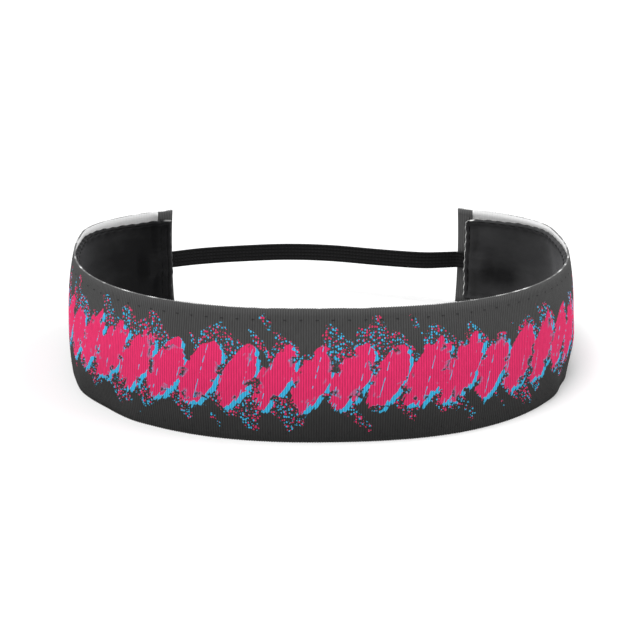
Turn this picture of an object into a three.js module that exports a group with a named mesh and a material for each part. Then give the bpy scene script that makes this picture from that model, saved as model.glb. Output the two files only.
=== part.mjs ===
// A sports headband: a grosgrain ribbon with a velvet liner sewn inside it, closed at the back
// of the head by a flat braided elastic. Millimetres, +Z up, the front of the band faces -Y.
// The ribbon, the liner and the long seams are split at the middle of the front, where the band
// flexes, so that the left and right halves can open about an upright line there.
import * as THREE from "three";

// The band seen from above: the outer face of the ribbon runs round two half ovals that meet at
// the widest point. A roundness of 2 is an ellipse, and more than 2 is squarer.
const halfWidth = 84;
const frontDepth = 84.5;
const backDepth = 44.5;
const frontRoundness = 2.4;
const backRoundness = 2;
const endGap = 111;

// The ribbon and its folded ends.
const ribbonWidth = 38;
const ribbonThickness = 0.5;
const hemLength = 5.5;

// The liner, which lies inside the ribbon and covers the hems and the ends of the elastic.
const linerMargin = 2.3;
const linerThickness = 1;
const linerInsetLeft = 0.6;
const linerInsetRight = 2.6;
const linerRampLength = 6;

// The elastic: how far each end is tucked in, how far it sits below the middle of the ribbon's
// width, and how hard its middle bows out between the two ends.
const elasticWidth = 6.4;
const elasticThickness = 1;
const elasticTuck = 9;
const elasticDrop = 2;
const elasticBow = 31;

// The sewing. Each seam has a needle thread on the ribbon's outer face and a bobbin thread on
// the liner's inner face. A seam sits this far inside the liner's edge or the folded end.
const threadThickness = 0.25;
const threadWidth = 0.4;
const seamInset = 0.7;
const endSeamInset = 4.4;
const tackInset = 3.9;
const tackLength = 1;
const tackOverhang = 0.5;

// Clearances: between layers of cloth, between a thread and the cloth under it, between thread
// runs that meet at a corner, and across the flex line and the joins in the elastic.
const layerGap = 0.3;
const threadGap = 0.25;
const cornerGap = 0.4;
const splitGap = 0.4;

// How finely curves are cut.
const outlineSteps = 4000;
const bandStep = 3.2;
const rampStep = 1;
const foldSteps = 6;
const elasticSteps = 44;

const ribbonColour = 0x4b4b4b;
const linerColour = 0x262626;
const elasticColour = 0x151515;
const threadColour = 0x303030;

// Depths of each layer below the ribbon's outer face, near the folded ends.
const ribbonInner = -ribbonThickness;
const hemOuter = ribbonInner - layerGap;
const hemInner = hemOuter - ribbonThickness;
const elasticOuter = hemInner - layerGap;
const elasticInner = elasticOuter - elasticThickness;
const tackOuter = elasticInner - threadGap;
const tackInner = tackOuter - threadThickness;
const linerOuterAtEnd = tackInner - threadGap;
const linerOuterAlong = ribbonInner - layerGap;

// Heights.
const linerBottom = linerMargin;
const linerTop = ribbonWidth - linerMargin;
const bottomSeamHeight = linerBottom + seamInset;
const topSeamHeight = linerTop - seamInset;
const elasticHeight = ribbonWidth / 2 - elasticDrop;

function powered(value, roundness) {
  return Math.pow(Math.max(value, 0), 2 / roundness);
}

// The ribbon's outer face, walked from the middle of the front round to the right-hand end.
function walkOutline() {
  const endAngle = Math.PI - Math.asin(Math.pow(endGap / 2 / halfWidth, backRoundness / 2));
  const points = [];
  let length = 0;
  for (let i = 0; i <= outlineSteps; i++) {
    const angle = (endAngle * i) / outlineSteps;
    const inFront = angle <= Math.PI / 2;
    const roundness = inFront ? frontRoundness : backRoundness;
    const depth = inFront ? -frontDepth : backDepth;
    const x = halfWidth * powered(Math.sin(angle), roundness);
    const y = depth * powered(Math.abs(Math.cos(angle)), roundness);
    const last = points[points.length - 1];
    if (last) {
      length += Math.hypot(x - last.x, y - last.y);
    }
    points.push({ x, y, length });
  }
  return points;
}

const outline = walkOutline();
const bandEnd = outline[outline.length - 1].length;

// The point of the outline at a distance along it. Past either end it carries on straight.
function outlinePoint(along) {
  let low = 0;
  let high = outline.length - 1;
  while (high - low > 1) {
    const middle = Math.floor((low + high) / 2);
    if (outline[middle].length <= along) {
      low = middle;
    } else {
      high = middle;
    }
  }
  const a = outline[low];
  const b = outline[high];
  const share = (along - a.length) / (b.length - a.length);
  return new THREE.Vector2(a.x + (b.x - a.x) * share, a.y + (b.y - a.y) * share);
}

function heading(along) {
  const reach = 0.6;
  const from = outlinePoint(Math.min(Math.max(along - reach, 0), bandEnd - 2 * reach));
  const to = outlinePoint(Math.min(Math.max(along + reach, 2 * reach), bandEnd));
  return to.sub(from).normalize();
}

// A point at a distance along the band and a depth from the ribbon's outer face. Side is 1 for
// the right-hand half and -1 for the left.
function bandPoint(along, depth, side) {
  const direction = along < bandStep / 4 ? new THREE.Vector2(1, 0) : heading(along);
  const outward = new THREE.Vector2(direction.y, -direction.x);
  const place = outlinePoint(along).addScaledVector(outward, depth);
  return new THREE.Vector2(place.x * side, place.y);
}

function stations(from, to, step) {
  const count = Math.max(1, Math.ceil((to - from) / step));
  const list = [];
  for (let i = 0; i <= count; i++) {
    list.push(from + ((to - from) * i) / count);
  }
  return list;
}

// Stations along a half, closer together where the liner climbs over the tucked elastic.
const rampEnd = bandEnd - elasticTuck - 1;
const rampStart = rampEnd - linerRampLength;

function bandStations(from, to) {
  const marks = [from];
  if (rampStart > from && rampStart < to) {
    marks.push(rampStart);
  }
  if (rampEnd > from && rampEnd < to) {
    marks.push(rampEnd);
  }
  marks.push(to);
  const list = [];
  for (let i = 1; i < marks.length; i++) {
    const onRamp = marks[i - 1] >= rampStart && marks[i] <= rampEnd;
    const part = stations(marks[i - 1], marks[i], onRamp ? rampStep : bandStep);
    list.push(...(i > 1 ? part.slice(1) : part));
  }
  return list;
}

// Depth of the liner's outer side: against the ribbon, then out over the tucked elastic.
function linerOuter(along) {
  const share = Math.min(Math.max((along - rampStart) / linerRampLength, 0), 1);
  const eased = share * share * (3 - 2 * share);
  return linerOuterAlong + (linerOuterAtEnd - linerOuterAlong) * eased;
}

function linerInner(along) {
  return linerOuter(along) - linerThickness;
}

// Raises an outline drawn in plan from one height to another.
function raised(points, bottom, height) {
  const geometry = new THREE.ExtrudeGeometry(new THREE.Shape(points), {
    depth: height,
    bevelEnabled: false,
    steps: 1,
  });
  geometry.translate(0, 0, bottom);
  return geometry;
}

// A layer of even height that follows the band between two depths.
function layer(side, from, to, outer, inner, bottom, height) {
  const list = bandStations(from, to);
  const front = list.map((along) => bandPoint(along, outer(along), side));
  const back = list.map((along) => bandPoint(along, inner(along), side)).reverse();
  return raised([...front, ...back], bottom, height);
}

const group = new THREE.Group();
group.name = "headband";

function addPiece(name, geometry, colour, roughness) {
  const material = new THREE.MeshStandardMaterial({ color: colour, roughness, metalness: 0 });
  const mesh = new THREE.Mesh(geometry, material);
  mesh.name = name;
  group.add(mesh);
}

// The ribbon runs to its end, turns inward through a round fold and comes back as a short hem.
function ribbonHalf(side) {
  const foldRadius = ribbonThickness + layerGap / 2;
  const foldStart = bandEnd - foldRadius;
  const points = [];
  for (const along of bandStations(splitGap / 2, foldStart)) {
    points.push(bandPoint(along, 0, side));
  }
  for (let i = 1; i < foldSteps; i++) {
    const turn = (Math.PI * i) / foldSteps;
    const along = foldStart + foldRadius * Math.sin(turn);
    points.push(bandPoint(along, -foldRadius + foldRadius * Math.cos(turn), side));
  }
  const hem = stations(bandEnd - hemLength, foldStart, bandStep);
  for (const along of [...hem].reverse()) {
    points.push(bandPoint(along, hemInner, side));
  }
  for (const along of hem) {
    points.push(bandPoint(along, hemOuter, side));
  }
  for (let i = foldSteps - 1; i > 0; i--) {
    const turn = (Math.PI * i) / foldSteps;
    const along = foldStart + (layerGap / 2) * Math.sin(turn);
    points.push(bandPoint(along, -foldRadius + (layerGap / 2) * Math.cos(turn), side));
  }
  for (const along of bandStations(splitGap / 2, foldStart).reverse()) {
    points.push(bandPoint(along, ribbonInner, side));
  }
  return raised(points, 0, ribbonWidth);
}

function addHalf(side, sideName, linerInset) {
  const start = splitGap / 2;
  addPiece("ribbon_" + sideName + "_half", ribbonHalf(side), ribbonColour, 0.85);
  addPiece(
    "liner_" + sideName + "_half",
    layer(side, start, bandEnd - linerInset, linerOuter, linerInner, linerBottom, linerTop - linerBottom),
    linerColour,
    0.95,
  );
  addPiece(
    "elastic_" + sideName + "_end",
    layer(
      side,
      bandEnd - elasticTuck,
      bandEnd,
      () => elasticOuter,
      () => elasticInner,
      elasticHeight - elasticWidth / 2,
      elasticWidth,
    ),
    elasticColour,
    0.8,
  );
  addPiece(
    "elastic_tack_" + sideName,
    layer(
      side,
      bandEnd - tackInset - tackLength / 2,
      bandEnd - tackInset + tackLength / 2,
      () => tackOuter,
      () => tackInner,
      elasticHeight - elasticWidth / 2 - tackOverhang,
      elasticWidth + 2 * tackOverhang,
    ),
    threadColour,
    0.7,
  );
  const faces = {
    needle: [() => threadGap + threadThickness, () => threadGap],
    bobbin: [(along) => linerInner(along) - threadGap, (along) => linerInner(along) - threadGap - threadThickness],
  };
  const rows = { top: topSeamHeight, bottom: bottomSeamHeight };
  const endSeam = bandEnd - endSeamInset;
  for (const [thread, [outer, inner]] of Object.entries(faces)) {
    for (const [row, height] of Object.entries(rows)) {
      const stop = endSeam - threadWidth / 2 - cornerGap;
      addPiece(
        row + "_seam_" + thread + "_thread_" + sideName,
        layer(side, start, stop, outer, inner, height - threadWidth / 2, threadWidth),
        threadColour,
        0.7,
      );
    }
    addPiece(
      "end_seam_" + thread + "_thread_" + sideName,
      layer(
        side,
        endSeam - threadWidth / 2,
        endSeam + threadWidth / 2,
        outer,
        inner,
        bottomSeamHeight - threadWidth / 2,
        topSeamHeight - bottomSeamHeight + threadWidth,
      ),
      threadColour,
      0.7,
    );
  }
}

// The free length of the elastic leaves each end in line with the ribbon and bows out between.
function elasticMiddle() {
  const centre = (elasticOuter + elasticInner) / 2;
  const direction = heading(bandEnd);
  const right = bandPoint(bandEnd, centre, 1).addScaledVector(direction, splitGap);
  const pull = right.clone().addScaledVector(direction, elasticBow);
  const mirrored = (point) => new THREE.Vector2(-point.x, point.y);
  const curve = new THREE.CubicBezierCurve(right, pull, mirrored(pull), mirrored(right));
  const outer = [];
  const inner = [];
  for (let i = 0; i <= elasticSteps; i++) {
    const place = curve.getPoint(i / elasticSteps);
    const along = curve.getTangent(i / elasticSteps);
    const outward = new THREE.Vector2(along.y, -along.x).multiplyScalar(elasticThickness / 2);
    outer.push(place.clone().add(outward));
    inner.push(place.clone().sub(outward));
  }
  return raised([...outer, ...inner.reverse()], elasticHeight - elasticWidth / 2, elasticWidth);
}

addHalf(1, "right", linerInsetRight);
addHalf(-1, "left", linerInsetLeft);
addPiece("elastic_middle", elasticMiddle(), elasticColour, 0.8);

// The frame's origin is under the middle of the whole band, on the surface that it stands on.
const box = new THREE.Box3().setFromObject(group);
const middle = box.getCenter(new THREE.Vector3());
group.children.forEach((mesh) => mesh.geometry.translate(-middle.x, -middle.y, -box.min.z));

export default group;
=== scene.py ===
import math

import bmesh
import bpy
import numpy as np
from mathutils import Euler, Matrix, Vector


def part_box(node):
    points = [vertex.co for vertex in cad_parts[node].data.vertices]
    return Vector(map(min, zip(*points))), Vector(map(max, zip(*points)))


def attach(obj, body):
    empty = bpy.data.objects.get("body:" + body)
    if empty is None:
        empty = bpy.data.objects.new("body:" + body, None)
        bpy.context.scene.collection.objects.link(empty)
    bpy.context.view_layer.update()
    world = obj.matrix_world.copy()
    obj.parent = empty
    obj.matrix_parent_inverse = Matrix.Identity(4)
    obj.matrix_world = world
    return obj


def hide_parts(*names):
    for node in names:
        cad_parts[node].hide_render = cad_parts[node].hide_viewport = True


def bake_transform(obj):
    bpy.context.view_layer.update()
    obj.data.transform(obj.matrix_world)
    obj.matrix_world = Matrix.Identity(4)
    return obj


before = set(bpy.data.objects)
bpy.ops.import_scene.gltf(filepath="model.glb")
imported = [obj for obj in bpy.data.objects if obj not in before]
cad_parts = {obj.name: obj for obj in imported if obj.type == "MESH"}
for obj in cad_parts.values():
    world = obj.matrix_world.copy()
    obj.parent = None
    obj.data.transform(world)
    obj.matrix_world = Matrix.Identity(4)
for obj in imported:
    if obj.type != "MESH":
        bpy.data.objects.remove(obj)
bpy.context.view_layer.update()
mm = 0.001


# the camera, the lights and the floor
cameraSet = {
    "place": (-0.0150, -0.3087, 0.1254),
    "lookDown": 20.14,  # degrees below the horizon
    "turn": -2.76,  # degrees, to the right when negative
    "roll": 0.3,
    "lens": 55.0,
}


def addCamera():
    data = bpy.data.cameras.new("camera")
    data.lens = cameraSet["lens"]
    data.sensor_width = 36.0
    data.clip_start = 0.01
    data.clip_end = 30.0
    camera = bpy.data.objects.new("camera", data)
    bpy.context.scene.collection.objects.link(camera)
    aim = Euler((math.radians(90 - cameraSet["lookDown"]), 0, math.radians(cameraSet["turn"])))
    spin = Matrix.Rotation(math.radians(cameraSet["roll"]), 4, "Z")
    camera.matrix_world = Matrix.Translation(cameraSet["place"]) @ aim.to_matrix().to_4x4() @ spin
    bpy.context.scene.camera = camera


lightSet = {
    "skyLampPower": 2.5,
    "skyLampSoftness": 35.0,  # degrees
    "skyLampFrom": (-0.32, -0.20, 1.0),
    "sidePower": 1.25,
    "sideSoftness": 50.0,
    "sideFrom": (0.9, 0.1, 0.75),
    "worldStrength": 0.60,
    "floorColour": (0.8, 0.8, 0.8, 1),
    "floorHalf": 8.0,
}


def addSun(name, power, softness, come):
    data = bpy.data.lights.new(name, "SUN")
    data.energy = power
    data.angle = math.radians(softness)
    lamp = bpy.data.objects.new(name, data)
    bpy.context.scene.collection.objects.link(lamp)
    aim = (-Vector(come)).to_track_quat("-Z", "Y")
    lamp.matrix_world = Matrix.Translation(Vector(come)) @ aim.to_matrix().to_4x4()


def addStudio():
    s = lightSet
    addSun("skyLamp", s["skyLampPower"], s["skyLampSoftness"], s["skyLampFrom"])
    addSun("sideLamp", s["sidePower"], s["sideSoftness"], s["sideFrom"])
    world = bpy.data.worlds.new("studio")
    world.use_nodes = True
    background = world.node_tree.nodes["Background"]
    background.inputs["Color"].default_value = (1, 1, 1, 1)
    background.inputs["Strength"].default_value = s["worldStrength"]
    bpy.context.scene.world = world
    bpy.context.scene.view_settings.view_transform = "Standard"

    bm = bmesh.new()
    bmesh.ops.create_grid(bm, x_segments=1, y_segments=1, size=s["floorHalf"])
    material = bpy.data.materials.new("paleFloor")
    material.use_nodes = True
    shader = material.node_tree.nodes["Principled BSDF"]
    shader.inputs["Base Color"].default_value = s["floorColour"]
    shader.inputs["Roughness"].default_value = 0.9
    shader.inputs["Specular IOR Level"].default_value = 0.1
    floor = finishMesh(bm, "floor", [material])
    floor.visible_diffuse = False  # the white floor would light the cloth from below


def finishMesh(bm, name, materials):
    mesh = bpy.data.meshes.new(name)
    bm.to_mesh(mesh)
    bm.free()
    mesh.polygons.foreach_set("use_smooth", [True] * len(mesh.polygons))
    for material in materials:
        mesh.materials.append(material)
    piece = bpy.data.objects.new(name, mesh)
    bpy.context.scene.collection.objects.link(piece)
    return piece


def readPoints(mesh):
    points = np.zeros(len(mesh.vertices) * 3)
    mesh.vertices.foreach_get("co", points)
    return points.reshape(-1, 3)


def writePoints(mesh, points):
    mesh.vertices.foreach_set("co", points.astype(np.float32).ravel())
    mesh.update()


def addClothMap(mesh, points):
    # the cloth's own map: millimetres along it and up it, before it was bent
    loops = np.zeros(len(mesh.loops), dtype=np.int32)
    mesh.loops.foreach_get("vertex_index", loops)
    layer = mesh.uv_layers.new(name="clothMap")
    layer.data.foreach_set("uv", (points[loops][:, :2] / mm).astype(np.float32).ravel())


def flatCloth(columns, rows, thickness):
    # a slab from -1 to 1 both ways, with its face at z 0 and its back at -thickness
    bm = bmesh.new()
    bmesh.ops.create_grid(bm, x_segments=columns, y_segments=rows, size=1)
    bmesh.ops.solidify(bm, geom=bm.faces[:], thickness=thickness)
    return bm


def smooth(value, low, high):
    t = np.clip((value - low) / (high - low), 0, 1)
    return t * t * (3 - 2 * t)


def hump(value, centre, reach):
    return np.exp(-(((value - centre) / reach) ** 2))


# the line that every layer of the band follows
band = {
    "halfWidth": 84 * mm,
    "frontDepth": 84.5 * mm,
    "backDepth": 44.5 * mm,
    "frontRoundness": 2.4,
    "backRoundness": 2.0,
    "endGap": 111 * mm,
    "width": 38 * mm,
    "swell": 1.0 * mm,
    "bow": 1.77 * mm,  # how far both edges lie inside the middle of the width
    "flare": 1.7 * mm,  # the lower edge stands out this much, the upper one in
    "sway": 0.3 * mm,
}

# soft folds: along, height, reach along, reach up, lean, depth, all in millimetres but the lean
folds = [
    (-84, 7, 7, 11, 0.5, 0.9),
    (-70, 4, 5, 9, 0.6, -0.35),
    (-57, 6, 5, 8, 0.5, 0.45),
    (96, 12, 6, 8, -0.4, 0.7),
    (108, 0, 9, 9, -0.2, -2.2),
    (84, 4, 5, 8, -0.5, -0.6),
    (75, 7, 6, 9, -0.5, 0.5),
    (112, 22, 9, 10, 0.2, -0.5),
    (-112, 20, 9, 12, -0.2, -0.5),
    (35, 6, 14, 7, 0.2, 0.3),
    (-20, 33, 18, 6, 0.1, -0.3),
]


def walkOutline(count=6000):
    endAngle = math.pi - math.asin((band["endGap"] / 2 / band["halfWidth"]) ** (band["backRoundness"] / 2))
    angle = np.linspace(0, endAngle, count)
    inFront = angle <= math.pi / 2
    roundness = np.where(inFront, band["frontRoundness"], band["backRoundness"])
    depth = np.where(inFront, -band["frontDepth"], band["backDepth"])
    x = band["halfWidth"] * np.abs(np.sin(angle)) ** (2 / roundness)
    y = depth * np.abs(np.cos(angle)) ** (2 / roundness)
    length = np.concatenate([[0], np.cumsum(np.hypot(np.diff(x), np.diff(y)))])
    return x, y, length


outlineX, outlineY, outlineLength = walkOutline()
bandEnd = float(outlineLength[-1])
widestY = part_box("ribbon_left_half")[0].y + band["frontDepth"]
tableAlong = np.linspace(0, bandEnd, 1200)
tableX = np.interp(tableAlong, outlineLength, outlineX)
tableY = np.interp(tableAlong, outlineLength, outlineY) + widestY
slopeX = np.gradient(tableX, tableAlong)
slopeY = np.gradient(tableY, tableAlong)
slopeX[0], slopeY[0] = 1.0, 0.0


def bandShape(along, height):
    # how far the cloth stands out from the plain upright wall
    t = height / (band["width"] / 2) - 1
    out = band["swell"] - band["bow"] * t**2 - band["flare"] * t
    a, h = along / mm, height / mm
    sway = 0.6 * np.sin(a / 23 + 0.6) * np.cos(h / 17) + 0.3 * np.sin(a / 11.3 - h / 9 + 2.1)
    out = out + band["sway"] * (sway + 0.3 * np.sin(a / 37 + h / 6.5))
    for foldAlong, foldHeight, reachAlong, reachUp, lean, depth in folds:
        across = a - foldAlong - lean * (h - foldHeight)
        out = out + depth * mm * hump(across, 0, reachAlong) * hump(h, foldHeight, reachUp)
    return out


def bandPlace(along, depth, height):
    side = np.where(along < 0, -1.0, 1.0)
    a = np.abs(along)
    over = np.maximum(a - bandEnd, 0)
    dx = np.interp(a, tableAlong, slopeX)
    dy = np.interp(a, tableAlong, slopeY)
    size = np.hypot(dx, dy)
    dx, dy = dx / size, dy / size
    x = np.interp(a, tableAlong, tableX) + dx * over
    y = np.interp(a, tableAlong, tableY) + dy * over
    reach = depth + bandShape(along, np.clip(height, 0, band["width"]))
    return np.stack([side * (x + dy * reach), y - dx * reach, height], axis=1)


# builds a material out of nodes
class Net:
    def __init__(self, name, **constants):
        self.material = bpy.data.materials.new(name)
        self.material.use_nodes = True
        self.tree = self.material.node_tree
        self.shader = self.tree.nodes["Principled BSDF"]
        for key, value in constants.items():
            self.shader.inputs[key.replace("_", " ")].default_value = value

    def put(self, socket, value):
        if isinstance(value, bpy.types.NodeSocket):
            self.tree.links.new(value, socket)
        else:
            socket.default_value = value

    def math(self, kind, *values):
        node = self.tree.nodes.new("ShaderNodeMath")
        node.operation = kind
        for socket, value in zip(node.inputs, values):
            self.put(socket, value)
        return node.outputs[0]

    def total(self, first, *rest):
        for value in rest:
            first = self.math("ADD", first, value)
        return first

    def scale(self, a, b):
        return self.math("MULTIPLY", a, b)

    def above(self, value, limit, soft=0.02):
        node = self.tree.nodes.new("ShaderNodeMapRange")
        node.interpolation_type = "SMOOTHSTEP"
        self.put(node.inputs["Value"], value)
        self.put(node.inputs["From Min"], limit - soft)
        self.put(node.inputs["From Max"], limit + soft)
        return node.outputs["Result"]

    def clothMap(self):
        node = self.tree.nodes.new("ShaderNodeUVMap")
        node.uv_map = "clothMap"
        split = self.tree.nodes.new("ShaderNodeSeparateXYZ")
        self.tree.links.new(node.outputs[0], split.inputs[0])
        return split.outputs[0], split.outputs[1]

    def join(self, x, y, z=0.0):
        node = self.tree.nodes.new("ShaderNodeCombineXYZ")
        for socket, value in zip(node.inputs, (x, y, z)):
            self.put(socket, value)
        return node.outputs[0]

    def noise(self, vector, size, detail=2.0, rough=0.5):
        node = self.tree.nodes.new("ShaderNodeTexNoise")
        self.put(node.inputs["Vector"], vector)
        node.inputs["Scale"].default_value = 1 / size
        node.inputs["Detail"].default_value = detail
        node.inputs["Roughness"].default_value = rough
        return node.outputs["Fac"]

    def dots(self, vector, size):
        node = self.tree.nodes.new("ShaderNodeTexVoronoi")
        node.voronoi_dimensions = "2D"
        self.put(node.inputs["Vector"], vector)
        node.inputs["Scale"].default_value = 1 / size
        split = self.tree.nodes.new("ShaderNodeSeparateXYZ")
        self.tree.links.new(node.outputs["Color"], split.inputs[0])
        return node.outputs["Distance"], split.outputs[0], split.outputs[1]

    def chance(self, value):
        node = self.tree.nodes.new("ShaderNodeTexWhiteNoise")
        node.noise_dimensions = "1D"
        self.put(node.inputs["W"], value)
        return node.outputs["Value"]

    def mix(self, factor, a, b):
        node = self.tree.nodes.new("ShaderNodeMix")
        node.data_type = "RGBA"
        self.put(node.inputs[0], factor)
        self.put(node.inputs[6], a)
        self.put(node.inputs[7], b)
        return node.outputs[2]

    def dim(self, colour, factor):
        node = self.tree.nodes.new("ShaderNodeMix")
        node.data_type = "RGBA"
        node.blend_type = "MULTIPLY"
        node.inputs[0].default_value = 1.0
        self.put(node.inputs[6], colour)
        self.put(node.inputs[7], self.join(factor, factor, factor))
        return node.outputs[2]

    def bump(self, height, distance, strength=1.0):
        node = self.tree.nodes.new("ShaderNodeBump")
        node.inputs["Distance"].default_value = distance
        node.inputs["Strength"].default_value = strength
        self.put(node.inputs["Height"], height)
        self.tree.links.new(node.outputs[0], self.shader.inputs["Normal"])


def colour(red, green, blue):
    # from the 0 to 255 scale of a colour picker to the linear scale of a shader
    parts = []
    for part in (red, green, blue):
        c = part / 255
        parts.append(c / 12.92 if c <= 0.04045 else ((c + 0.055) / 1.055) ** 2.4)
    return (*parts, 1)


ribbonSet = {
    "thickness": 0.5 * mm,
    "hemLength": 5.5 * mm,
    "foldRadius": 0.65 * mm,
    "ribPitch": 0.7 * mm,
    "ribHeight": 0.09 * mm,
    "ribSamples": 4,
    "rows": 18,
    "ground": colour(74, 74, 74),
    "pink": colour(238, 52, 112),
    "blue": colour(66, 192, 238),
    "back": colour(252, 252, 252),
    "edge": colour(104, 104, 104),
    "printMiddle": 20.0,  # millimetres above the lower edge
    "printHalf": 8.9,
    "printReach": 128.0,
    "cell": 10.4,
    "lean": 0.45,  # how far the strokes lean to the right for each millimetre up
}


def blobs(net, u, v):
    # a row of leaning brush strokes, pointed above and below: above zero inside one
    s = ribbonSet
    u = net.total(u, net.scale(net.total(v, -s["printMiddle"]), -s["lean"]))
    cell = net.math("FLOOR", net.math("DIVIDE", u, s["cell"]))
    first = net.chance(cell)
    second = net.chance(net.total(cell, 37.7))
    third = net.chance(net.total(cell, 91.3))
    y = net.math("SUBTRACT", v, net.total(s["printMiddle"] - 0.9, net.scale(second, 1.8)))
    x = net.math("SUBTRACT", u, net.scale(net.total(cell, 0.5), s["cell"]))
    x = net.math("SUBTRACT", x, net.scale(y, net.total(net.scale(second, 0.16), -0.08)))
    halfAcross = net.scale(net.total(net.scale(first, 0.10), 0.47), s["cell"])
    power = net.total(net.scale(third, 0.55), 1.35)
    across = net.math("POWER", net.math("DIVIDE", net.math("ABSOLUTE", x), halfAcross), power)
    upward = net.math("POWER", net.math("DIVIDE", net.math("ABSOLUTE", y), s["printHalf"]), power)
    # every few shapes one is a star of short points
    turn = net.math("ARCTAN2", y, net.scale(x, 1.5))
    points = net.scale(net.math("SINE", net.scale(turn, 9.0)), net.scale(net.above(first, 0.6), 0.16))
    inside = net.scale(net.math("SUBTRACT", net.total(1.0, points), net.total(across, upward)), 3.2)
    rough = net.noise(net.join(u, v), 2.4, 2.0, 0.6)
    inside = net.total(inside, net.scale(net.total(rough, -0.5), 2.0))
    drip = net.noise(net.join(u, net.scale(v, 0.10)), 1.0, 2.0)
    low = net.math("SUBTRACT", 1.0, net.above(y, -5.0, 2.5))
    inside = net.total(inside, net.scale(net.scale(net.total(drip, -0.40), 4.0), low))
    end = net.math("SUBTRACT", s["printReach"], net.math("ABSOLUTE", u))
    return net.math("MINIMUM", inside, end)


def ribbonPrint():
    s = ribbonSet
    net = Net("ribbonPrint", Roughness=0.65, Specular_IOR_Level=0.12,
              Sheen_Weight=0.03, Sheen_Roughness=0.5)
    u, v = net.clothMap()
    spot = net.join(u, v)
    rib = net.math("COSINE", net.scale(u, 2 * math.pi / (s["ribPitch"] / mm)))
    inside = blobs(net, u, v)
    shadow = blobs(net, net.total(u, -1.0), net.total(v, 0.9))
    distance, pick, size = net.dots(spot, 0.74)
    speck = net.math("LESS_THAN", distance, net.total(net.scale(size, 0.36), 0.10))
    # sprayed specks: thick near the shapes, and rising in plumes that lean to the left
    leanU = net.total(u, net.scale(v, 0.75))
    plume = net.noise(net.join(leanU, net.scale(v, 0.16)), 7.5, 1.0)
    reach = net.scale(net.above(plume, 0.50, 0.10), 7.0)
    middle = net.math("ABSOLUTE", net.total(v, -s["printMiddle"]))
    halo = net.total(inside, net.scale(net.above(middle, s["printHalf"] + 1.0, 2.0), -2.4), reach, 1.3)
    thin = net.noise(net.join(u, v, 4.0), 1.6, 1.0)
    sprayed = net.scale(net.math("GREATER_THAN", net.total(halo, net.scale(thin, -3.0)), 0.0), speck)
    patch = net.noise(net.join(u, v, 9.0), 3.4, 2.0)
    rim = net.math("SUBTRACT", 1.0, net.above(inside, 1.1, 0.5))
    solid = net.math("SUBTRACT", 1.0, net.scale(net.above(patch, 0.57, 0.02), rim))
    pinkPart = net.scale(net.above(inside, 0.0, 0.06), solid)
    bluePart = net.scale(net.above(shadow, 0.0, 0.06), solid)
    slant = net.total(u, net.scale(v, -s["lean"] * 0.6))
    share = net.math("FRACT", net.math("DIVIDE", slant, s["cell"] * 0.61))
    crack = net.math("LESS_THAN", net.math("ABSOLUTE", net.total(share, -0.4)), 0.018)
    crack = net.scale(crack, net.above(net.noise(net.join(u, v, 2.0), 2.4, 2.0), 0.5, 0.03))
    specks = net.mix(net.math("LESS_THAN", pick, 0.52), s["blue"], s["pink"])
    cloudy = net.noise(net.join(u, net.scale(v, 1.6)), 24.0, 3.0)
    # painted light and shade: the ground is painted lighter towards the upper edge, which tilts up to the
    # lamp, and darker towards the lower one
    paintedTopLight = net.above(v, 15.0, 17.0)
    # painted light: past the fold the hem's ground is painted lighter
    hem = net.above(net.math("ABSOLUTE", u), bandEnd / mm + 0.8, 0.4)
    strength = net.total(0.27, net.scale(paintedTopLight, 0.58), net.scale(cloudy, 0.30), net.scale(hem, 0.9))
    ground = net.dim(s["ground"], strength)
    paint = net.mix(sprayed, ground, specks)
    paint = net.mix(bluePart, paint, s["blue"])
    paint = net.mix(pinkPart, paint, net.mix(crack, s["pink"], s["blue"]))
    thread = net.noise(net.join(net.scale(u, 3.0), net.scale(v, 0.35)), 1.0, 2.0)
    # painted shade: the rib term darkens the colour in the grooves between the ribs; the thread term is
    # tone
    shade = net.total(0.94, net.scale(rib, 0.20), net.scale(net.total(thread, -0.5), 0.40))
    net.put(net.shader.inputs["Base Color"], net.dim(paint, shade))
    weave = net.math("SINE", net.scale(v, 2 * math.pi / 0.24))
    net.bump(net.total(net.scale(weave, 0.25), thread), 0.00003, 0.6)
    return net.material


def ribbonBack():
    s = ribbonSet
    net = Net("ribbonBack", Roughness=0.7, Specular_IOR_Level=0.2, Sheen_Weight=0.1, Sheen_Roughness=0.5)
    u, v = net.clothMap()
    rib = net.math("COSINE", net.scale(u, 2 * math.pi / (s["ribPitch"] / mm)))
    thread = net.noise(net.join(net.scale(u, 3.0), net.scale(v, 0.35)), 1.0, 2.0)
    # painted shade: the rib term darkens the colour a little in the grooves between the ribs; the thread
    # term is tone
    shade = net.total(0.94, net.scale(rib, 0.03), net.scale(net.total(thread, -0.5), 0.08))
    # along the cut-free edges the dye of the face wicks a little way round
    rim = net.above(net.math("ABSOLUTE", net.total(v, -19.0)), 18.92, 0.03)
    wick = net.scale(rim, net.above(net.noise(net.join(u, v), 5.0, 3.0), 0.40, 0.15))
    net.put(net.shader.inputs["Base Color"], net.dim(net.mix(wick, s["back"], s["edge"]), shade))
    weave = net.math("SINE", net.scale(v, 2 * math.pi / 0.24))
    net.bump(net.total(net.scale(weave, 0.25), thread), 0.00003, 0.5)
    return net.material


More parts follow.
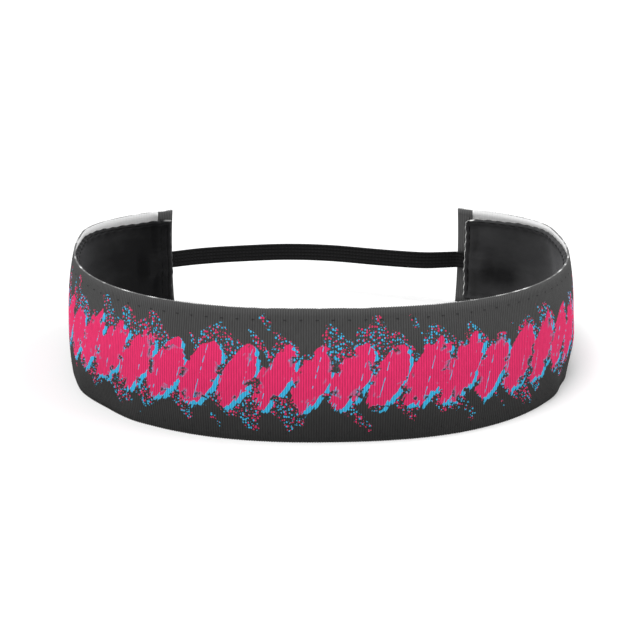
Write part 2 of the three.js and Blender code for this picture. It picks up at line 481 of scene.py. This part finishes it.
def addRibbon():
    s = ribbonSet
    middleRadius = s["foldRadius"] - s["thickness"] / 2
    turn = math.pi * middleRadius
    halfLength = bandEnd + turn + s["hemLength"]
    pitches = int(round(2 * halfLength / s["ribPitch"]))
    bm = flatCloth(pitches * s["ribSamples"], s["rows"], s["thickness"])
    ribbon = finishMesh(bm, "ribbon", [ribbonPrint(), ribbonBack()])
    mesh = ribbon.data
    points = readPoints(mesh)
    deep = -points[:, 2]
    along = points[:, 0] * halfLength
    height = (points[:, 1] + 1) / 2 * band["width"]
    centres = np.zeros(len(mesh.polygons) * 3)
    mesh.polygons.foreach_get("center", centres)
    face = centres.reshape(-1, 3)[:, 2] < -0.1 * s["thickness"]
    mesh.polygons.foreach_set("material_index", face.astype(np.int32))
    addClothMap(mesh, np.stack([along, height, deep], axis=1))
    # ribs stand out on the face and on the back, and end in a fine wavy edge
    rib = np.cos(2 * math.pi * along / s["ribPitch"]) * s["ribHeight"]
    away = np.abs(points[:, 1])
    deep = np.where(deep > s["thickness"] / 2, deep + rib * 0.6, deep - rib)
    height = height + np.sign(points[:, 1]) * smooth(away, 0.97, 1.0) * rib * 0.8
    beyond = np.abs(along) - bandEnd
    angle = np.clip(beyond / middleRadius, 0, math.pi)
    past = np.maximum(beyond - turn, 0)
    radius = s["foldRadius"] - deep
    onFold = beyond > 0
    depth = np.where(onFold, -s["foldRadius"] + radius * np.cos(angle), -deep)
    reach = np.where(onFold, bandEnd + radius * np.sin(angle) - past, np.abs(along))
    side = np.where(along < 0, -1.0, 1.0)
    # the hem's edge lifts a little where the liner doesn't hold it down
    depth = depth - smooth(past, 2 * mm, 5.5 * mm) * smooth(height, 33 * mm, 38 * mm) * 0.2 * mm
    writePoints(mesh, bandPlace(side * reach, depth, height))
    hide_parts("ribbon_left_half", "ribbon_right_half")
    return ribbon, 2 * halfLength


linerSet = {
    "margin": 2.3 * mm,
    "endDrop": 1.2 * mm,  # how much lower the upper edge runs near both ends
    "insetLeft": 0.0,
    "insetRight": 2.6 * mm,
    "thickness": 1.15 * mm,
    "gap": 0.12 * mm,
    "welt": 0.45 * mm,
    "channelFromEdge": 1.9 * mm,
    "channelDepth": 0.5 * mm,
    "stitchPitch": 4.4 * mm,
    "scallop": 0.12 * mm,
    "endScallop": 0.2 * mm,
    "hemRise": 0.94 * mm,
    "elasticRise": 1.26 * mm,
    "columns": 1320,
    "rows": 34,
    "cornerRight": 3.2 * mm,
    "cornerLeft": 1.0 * mm,
    "pile": colour(22, 22, 23),
    "pileLight": colour(66, 66, 67),
    "backing": colour(232, 232, 230),
    # marks in the pile: the first four are painted shade and painted light on the right-hand liner near the
    # elastic's end, the dark one under the bulge there, and the rest are lighter and darker patches: along,
    # height, reach both ways, darker below zero
    "paintedShadeAndPileMarks": (
        (165, 14, 9, 5.5, -0.8),
        (172, 29, 7, 4, 0.35),
        (128, 20, 14, 12, 0.25),
        (140, 26, 9, 6, 0.15),
        (-150, 22, 12, 8, 0.12),
        (-170, 12, 8, 7, -0.10),
        (-60, 20, 20, 8, 0.2),
        (30, 16, 16, 7, 0.25),
    ),
}


def velvet():
    s = linerSet
    net = Net("velvet", Roughness=0.85, Specular_IOR_Level=0.08, Sheen_Weight=0.26, Sheen_Roughness=0.45)
    net.shader.inputs["Sheen Tint"].default_value = (0.6, 0.6, 0.62, 1)
    u, v = net.clothMap()
    spot = net.join(u, v)
    brushed = net.noise(net.join(net.scale(u, 0.6), v), 9.0, 3.0, 0.6)
    fine = net.noise(spot, 0.35, 3.0, 0.7)
    # painted light: the pile is painted lighter towards the right-hand end, whose inner face turns to the
    # lamp, and darker towards the left-hand one
    paintedLightRight = net.above(u, 0.0, 130.0)
    cloudy = net.scale(net.total(brushed, -0.5), 0.9)
    factor = net.total(net.scale(paintedLightRight, 0.62), cloudy, net.scale(fine, 0.24), -0.10)
    # the marks from linerSet: painted shade and painted light near the right-hand elastic's end, and
    # lighter and darker patches
    for along, height, reachAlong, reachUp, strength in s["paintedShadeAndPileMarks"]:
        du = net.scale(net.total(u, -along), 1 / reachAlong)
        dv = net.scale(net.total(v, -height), 1 / reachUp)
        away = net.math("SQRT", net.total(net.scale(du, du), net.scale(dv, dv)))
        factor = net.total(factor, net.scale(net.above(away, 0.75, 0.75), -strength), strength)
    # the pile is painted lighter along the left-hand end
    pastLeftEdge = net.above(u, 1.5 - bandEnd / mm, 0.7)
    factor = net.total(factor, 0.42, net.scale(pastLeftEdge, -0.42))
    # the pale backing shows as a fine line where the right-hand end was cut
    endU = (bandEnd - s["insetRight"]) / mm
    radius = s["cornerRight"] / mm
    near = net.math("MAXIMUM", net.total(1 - endU / radius, net.scale(u, 1 / radius)), 0.0)
    bend = net.math("SQRT", net.math("SUBTRACT", 1.0, net.scale(net.scale(near, near), 0.96)))
    cornerTop = (band["width"] - s["margin"]) / mm - radius
    overTop = net.above(net.math("SUBTRACT", v, net.scale(bend, radius)), cornerTop - 0.3, 0.1)
    corner = net.scale(overTop, net.above(u, endU - 3.6, 0.6))
    line = net.math("MAXIMUM", net.above(u, endU - 0.42, 0.1), corner)
    topV = (band["width"] - s["margin"]) / mm
    leftTop = net.scale(net.above(u, 3.0 - bandEnd / mm, 0.8), -1.0)
    leftTop = net.scale(net.total(1.0, leftTop), net.above(v, topV - 0.35, 0.1))
    line = net.math("MAXIMUM", line, net.scale(leftTop, 0.3))
    line = net.scale(line, net.above(net.noise(spot, 1.4, 2.0), 0.36, 0.08))
    pileColour = net.mix(factor, s["pile"], s["pileLight"])
    net.put(net.shader.inputs["Base Color"], net.mix(line, pileColour, s["backing"]))
    net.bump(fine, 0.00025, 0.55)
    return net.material


def backing():
    s = linerSet
    net = Net("backing", Roughness=0.8, Specular_IOR_Level=0.15, Sheen_Weight=0.1, Sheen_Roughness=0.5)
    u, v = net.clothMap()
    fine = net.noise(net.join(u, v), 0.5, 3.0, 0.6)
    net.put(net.shader.inputs["Base Color"], net.dim(s["backing"], net.total(0.75, net.scale(fine, 0.4))))
    net.bump(fine, 0.0001, 0.5)
    return net.material


def linerSides(along, height, sideSign):
    s = linerSet
    inset = np.where(sideSign < 0, s["insetLeft"], s["insetRight"])
    fromEnd = bandEnd - inset - np.abs(along)
    fromEdge = np.minimum(height - s["margin"], band["width"] - s["margin"] - height)
    return fromEnd, fromEdge


def endDrop(along, height):
    # the edges and seams run lower near the ends, the upper ones most
    share = 0.5 + 0.5 * smooth(height, band["width"] / 2, band["width"] - linerSet["margin"])
    return linerSet["endDrop"] * smooth(np.abs(along), 140 * mm, 178 * mm) * share


def linerLift(along, height):
    # how far the liner's back stands in from the ribbon: over the hem, then over the elastic
    s = linerSet
    fromFold = bandEnd - np.abs(along)
    hem = 1 - smooth(fromFold, 5.4 * mm, 8.5 * mm)
    strap = 1 - smooth(fromFold, 9.4 * mm, 14.5 * mm)
    away = np.abs(height - elasticSet["height"])
    over = np.maximum(hump(away, 0, 4.9 * mm), smooth(4.4 * mm - away, 0, 1.2 * mm))
    return np.maximum(s["hemRise"] * hem, strap * over * s["hemRise"]) + s["elasticRise"] * strap * over


def linerThickness(along, height, sideSign):
    s = linerSet
    fromEnd, fromEdge = linerSides(along, height, sideSign)
    nearest = np.minimum(fromEnd, fromEdge)
    around = np.where(fromEnd < fromEdge, height, along)
    stitch = 0.5 + 0.5 * np.cos(2 * math.pi * around / s["stitchPitch"])
    welt = s["welt"] * hump(nearest, 0.95 * mm, 0.7 * mm) * (0.88 + 0.24 * (1 - stitch))
    channel = s["channelDepth"] * hump(nearest, s["channelFromEdge"], 0.5 * mm) * (0.6 + 0.4 * stitch)
    rounded = np.sqrt(np.clip(1 - (1 - np.clip(nearest / (0.8 * mm), 0, 1)) ** 2, 0, 1))
    a, h = along / mm, height / mm
    soft = 0.10 * np.sin(a / 5.1 + h / 7) + 0.08 * np.sin(a / 2.9 - h / 3.7 + 1)
    soft = soft + 0.10 * np.sin(h / 4.4 + a / 13)
    full = s["thickness"] + welt - channel + soft * mm * smooth(nearest, 2 * mm, 5 * mm)
    return full * (0.25 + 0.75 * rounded)


def addLiner():
    s = linerSet
    bm = flatCloth(s["columns"], s["rows"], 1.0)
    liner = finishMesh(bm, "liner", [velvet(), backing()])
    points = readPoints(liner.data)
    inner = -points[:, 2]
    # the cut edge at the right-hand end shows the knitted backing
    centres = np.zeros(len(liner.data.polygons) * 3)
    liner.data.polygons.foreach_get("center", centres)
    centres = centres.reshape(-1, 3)
    cut = (centres[:, 0] > 0.9999) | (centres[:, 2] > -0.01)
    liner.data.polygons.foreach_set("material_index", cut.astype(np.int32))
    # columns and rows lie closer together towards the edges
    t = points[:, 0]
    t = np.sign(t) * (1 - (1 - np.abs(t)) * (1 - 0.55 * np.abs(t) ** 6))
    left = -(bandEnd - s["insetLeft"])
    right = bandEnd - s["insetRight"]
    along = (left + right) / 2 + (right - left) / 2 * t
    w = points[:, 1]
    w = np.sign(w) * (1 - (1 - np.abs(w)) ** 1.45)
    halfHeight = band["width"] / 2 - s["margin"]
    # rounded corners, more at the right-hand end
    for sign, radius in ((-1, s["cornerLeft"]), (1, s["cornerRight"])):
        toEnd = np.where(sign < 0, along - left, right - along)
        near = np.clip(1 - toEnd / radius, 0, 1)
        cut = radius * (1 - np.sqrt(1 - near**2 * 0.96))
        w = w * (1 - cut / halfHeight)
    height = band["width"] / 2 + w * halfHeight
    sideSign = np.sign(along)
    addClothMap(liner.data, np.stack([along, height, inner], axis=1))
    thickness = linerThickness(along, height, sideSign)
    fromEnd, fromEdge = linerSides(along, height, sideSign)
    # the stitches draw the edge in between them
    wave = np.cos(2 * math.pi * along / s["stitchPitch"])
    drift = 0.25 * np.sin(along / (19 * mm)) + 0.16 * np.sin(along / (6.1 * mm) + 1)
    drift = drift + 0.1 * np.sin(along / (1.9 * mm))
    edge = hump(np.minimum(fromEdge, 3 * mm), 0, 1.3 * mm)
    upperSide = np.where(w > 0, 1.0, -1.0)
    height = height + edge * upperSide * (wave * s["scallop"] + drift * mm * 0.7)
    endWave = np.cos(2 * math.pi * height / (s["stitchPitch"] * 0.8)) + 0.5 * np.sin(height / (1.7 * mm))
    along = along + hump(np.minimum(fromEnd, 3 * mm), 0, 1.2 * mm) * sideSign * endWave * s["endScallop"]
    height = height - endDrop(along, height)
    depth = -ribbonSet["thickness"] - s["gap"] - linerLift(along, height) - inner * thickness
    writePoints(liner.data, bandPlace(along, depth, height))
    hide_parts("liner_left_half", "liner_right_half")
    return liner, right - left, 2 * halfHeight


elasticSet = {
    "width": 6.4 * mm,
    "thickness": 1.0 * mm,
    "height": 17 * mm,
    "tuck": 9 * mm,
    "hemGap": 0.15 * mm,
    "cords": 5,
    "cordDepth": 0.22 * mm,
    "braidPitch": 1.3 * mm,
    "braidDepth": 0.05 * mm,
    # where the free strap passes, across and back from the ends' line, in millimetres
    "through": ((-44, 4.8), (-30, 9.0), (-12, 12.2), (6, 9.8), (24, 3.6), (40, -0.9), (49, -0.6)),
    "shade": colour(3, 3, 3),
    "shadeLight": colour(38, 38, 39),
}


def elasticPath():
    # the middle line in plan, from the left tucked end to the right one, as even steps
    s = elasticSet
    tucked = np.linspace(bandEnd - s["tuck"], bandEnd + 0.5 * mm, 12)
    depth = np.full(12, -ribbonSet["foldRadius"] * 2 - s["hemGap"] - s["thickness"] / 2)
    level = np.full(12, s["height"])
    left = bandPlace(-tucked, depth, level)[:, :2]
    right = bandPlace(tucked, depth, level)[::-1][:, :2]
    start, end = left[-1], right[0]
    knots = [left[-2], start]
    for across, back in s["through"]:
        knots.append(np.array([across * mm, start[1] + back * mm]))
    knots += [end, right[1]]
    line = []
    for i in range(1, len(knots) - 2):
        p0, p1, p2, p3 = knots[i - 1], knots[i], knots[i + 1], knots[i + 2]
        for t in np.linspace(0, 1, 24, endpoint=False):
            second = 2 * p0 - 5 * p1 + 4 * p2 - p3
            third = 3 * p1 - p0 - 3 * p2 + p3
            line.append(0.5 * (2 * p1 + (p2 - p0) * t + second * t**2 + third * t**3))
    line = np.concatenate([left[:-1], np.array(line), right])
    for _ in range(30):
        line[1:-1] = (line[:-2] + 2 * line[1:-1] + line[2:]) / 4
    length = np.concatenate([[0], np.cumsum(np.hypot(*np.diff(line, axis=0).T))])
    return line, length


def braid():
    s = elasticSet
    net = Net("braid", Roughness=0.65, Specular_IOR_Level=0.12, Sheen_Weight=0.04, Sheen_Roughness=0.4)
    u, v = net.clothMap()
    across = net.scale(v, s["cords"] / (s["width"] / mm))
    local = net.math("ABSOLUTE", net.math("SUBTRACT", net.math("FRACT", across), 0.5))
    slant = net.total(net.scale(u, 2 * math.pi / (s["braidPitch"] / mm)), net.scale(local, 7.0))
    weave = net.math("SINE", slant)
    fine = net.noise(net.join(u, v), 0.3, 2.0)
    # painted shade: the colour goes dark in the grooves between the cords
    grooveShadeMask = net.math("SUBTRACT", 1.0, net.above(local, 0.33, 0.14))
    factor = net.scale(grooveShadeMask, net.total(0.36, net.scale(weave, 0.14), net.scale(fine, 0.34)))
    net.put(net.shader.inputs["Base Color"], net.mix(factor, s["shade"], s["shadeLight"]))
    net.bump(net.total(weave, fine), 0.00006, 0.6)
    return net.material


def addElastic():
    s = elasticSet
    line, length = elasticPath()
    bm = flatCloth(480, s["cords"] * 8, 1.0)
    elastic = finishMesh(bm, "elasticStrap", [braid()])
    points = readPoints(elastic.data)
    along = (points[:, 0] + 1) / 2 * length[-1]
    across = points[:, 1] * s["width"] / 2
    side = 1 + 2 * points[:, 2]  # 1 on the outer face, -1 on the inner one
    addClothMap(elastic.data, np.stack([along, across, side], axis=1))
    place = (points[:, 1] + 1) / 2 * s["cords"]
    local = place - np.floor(np.minimum(place, s["cords"] - 1e-6)) - 0.5
    lobe = np.sqrt(np.clip(1 - (2 * local) ** 2 * 0.93, 0, 1)) - 1
    braidWave = np.sin(2 * math.pi * along / s["braidPitch"] + np.abs(local) * 7 + side)
    half = s["thickness"] / 2 + s["cordDepth"] * lobe + s["braidDepth"] * braidWave
    half = np.where(np.abs(points[:, 1]) > 0.995, half * 0.55, half)
    x = np.interp(along, length, line[:, 0])
    y = np.interp(along, length, line[:, 1])
    dx = np.interp(along, length, np.gradient(line[:, 0], length))
    dy = np.interp(along, length, np.gradient(line[:, 1], length))
    size = np.hypot(dx, dy)
    # the free strap sinks a little in its middle and leans back along its bow
    share = along / length[-1]
    rise = 0.3 * mm * np.sin(math.pi * share) + 1.3 * mm * (1 - smooth(share, 0.0, 0.45)) + 0.3 * mm * share
    lean = 0.10 * np.sin(math.pi * share) ** 2 * across
    out = side * half + lean
    tuckedShape = bandShapeAtEnds(along, length[-1], across + s["height"])
    out = out + tuckedShape
    placed = np.stack([x - dy / size * out, y + dx / size * out, s["height"] + across + rise], axis=1)
    writePoints(elastic.data, placed)
    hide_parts("elastic_left_end", "elastic_middle", "elastic_right_end")
    return elastic, float(length[-1])


def bandShapeAtEnds(along, total, height):
    # inside the ends the strap takes the lean of the cloth around it
    s = elasticSet
    fromEnd = np.minimum(along, total - along)
    hold = 1 - smooth(fromEnd, s["tuck"], s["tuck"] + 14 * mm)
    endAlong = np.where(along < total / 2, -bandEnd, bandEnd)
    return hold * (bandShape(endAlong, height) - bandShape(endAlong, np.full_like(height, s["height"])))


threadSet = {
    "pitch": 4.4 * mm,
    "needleLength": 0.95 * mm,
    "bobbinLength": 3.3 * mm,
    "radius": 0.14 * mm,
    "seamFromEdge": 3.0 * mm,
    "endSeamFromEnd": 4.4 * mm,
    "tackFromEnd": 3.9 * mm,
    "tackLength": 1.2 * mm,
    "needle": (colour(36, 36, 37), colour(62, 62, 63)),
    "bobbin": (colour(10, 10, 10), colour(27, 27, 28)),
}


def threadMaterial(kind):
    shade, shadeLight = threadSet[kind]
    net = Net(kind + "Thread", Roughness=0.8, Specular_IOR_Level=0.08)
    u, v = net.clothMap()
    twist = net.math("SINE", net.scale(net.total(u, net.scale(v, 1.5)), 2 * math.pi / 0.45))
    net.put(net.shader.inputs["Base Color"], net.mix(net.above(twist, 0.0, 0.8), shade, shadeLight))
    net.bump(twist, 0.00005, 0.7)
    return net.material


def addStitches(name, material, spots, length, upright, depthAt, node):
    # each stitch is a slim bead sitting partly sunk in the cloth; spots are (along, height)
    s = threadSet
    bm = bmesh.new()
    for along, height in spots:
        turn = Matrix.Rotation(math.pi / 2, 4, "Y") if not upright else Matrix.Rotation(math.pi / 2, 4, "X")
        size = Matrix.Diagonal((s["radius"], s["radius"], length / 2, 1))
        where = Matrix.Translation((along, height, 0))
        bmesh.ops.create_uvsphere(bm, u_segments=6, v_segments=6, radius=1, matrix=where @ turn @ size)
    piece = finishMesh(bm, name, [material])
    points = readPoints(piece.data)
    addClothMap(piece.data, points)
    along, height = points[:, 0], points[:, 1]
    placed = bandPlace(along, depthAt(along, height) + points[:, 2], height - endDrop(along, height))
    writePoints(piece.data, placed)
    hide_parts(*node)
    return piece


def onRibbon(along, height):
    return np.full_like(along, 0.03 * mm)


def onLiner(along, height):
    deep = ribbonSet["thickness"] + linerSet["gap"] + linerLift(along, height)
    return -deep - linerThickness(along, height, np.sign(along)) - 0.02 * mm


def blendAcross(piece):
    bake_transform(piece)


def addThreads():
    s = threadSet
    materials = {kind: threadMaterial(kind) for kind in ("needle", "bobbin")}
    rows = {"top": band["width"] - s["seamFromEdge"], "bottom": s["seamFromEdge"]}
    last = bandEnd - s["endSeamFromEnd"]
    count = int(2 * last / s["pitch"])
    starts = (np.arange(count) - (count - 1) / 2) * s["pitch"]
    made = []
    for row, height in rows.items():
        for kind, length, depthAt in (
            ("needle", s["needleLength"], onRibbon),
            ("bobbin", s["bobbinLength"], onLiner),
        ):
            shift = 0 if kind == "needle" else s["pitch"] / 2
            spots = [(a + shift, height) for a in starts if abs(a + shift) < last]
            nodes = [f"{row}_seam_{kind}_thread_left", f"{row}_seam_{kind}_thread_right"]
            name = f"{row}Seam{kind.capitalize()}Thread"
            piece = addStitches(name, materials[kind], spots, length, False, depthAt, nodes)
            blendAcross(piece)
            made.append(piece)
    steps = np.arange(rows["bottom"] + 2.4 * mm, rows["top"] - 1.2 * mm, 3.5 * mm)
    for side, sign in (("left", -1), ("right", 1)):
        for kind, length, depthAt in (
            ("needle", s["needleLength"], onRibbon),
            ("bobbin", s["bobbinLength"] * 0.8, onLiner),
        ):
            shift = 0 if kind == "needle" else 1.75 * mm
            spots = [(sign * last, h + shift) for h in steps]
            name = f"{side}EndSeam{kind.capitalize()}Thread"
            nodes = [f"end_seam_{kind}_thread_{side}"]
            piece = addStitches(name, materials[kind], spots, length, True, depthAt, nodes)
            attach(piece, f"{side}_half")
            made.append(piece)
        middle = elasticSet["height"]
        levels = np.arange(middle - 3.5 * mm, middle + 3.6 * mm, 0.35 * mm)
        bars = [(sign * (bandEnd - s["tackFromEnd"]), h) for h in levels]

        def onElastic(along, height):
            return np.full_like(along, -2 * ribbonSet["foldRadius"] - 1.1 * mm)

        name, nodes = f"{side}ElasticTack", [f"elastic_tack_{side}"]
        tack = addStitches(name, materials["bobbin"], bars, s["tackLength"], False, onElastic, nodes)
        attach(tack, f"{side}_half")
        made.append(tack)
    return made


addCamera()
addStudio()
print("stage ready")
ribbon, ribbonLength = addRibbon()
print("ribbon ready", len(ribbon.data.polygons), "faces")
liner, linerLength, linerWidth = addLiner()
print("liner ready", len(liner.data.polygons), "faces")
elastic, elasticLength = addElastic()
print("elastic ready, length", round(elasticLength, 4))
threads = addThreads()
print("threads ready", sum(len(t.data.polygons) for t in threads), "faces")

for piece in (ribbon, liner):
    blendAcross(piece)
blendAcross(elastic)
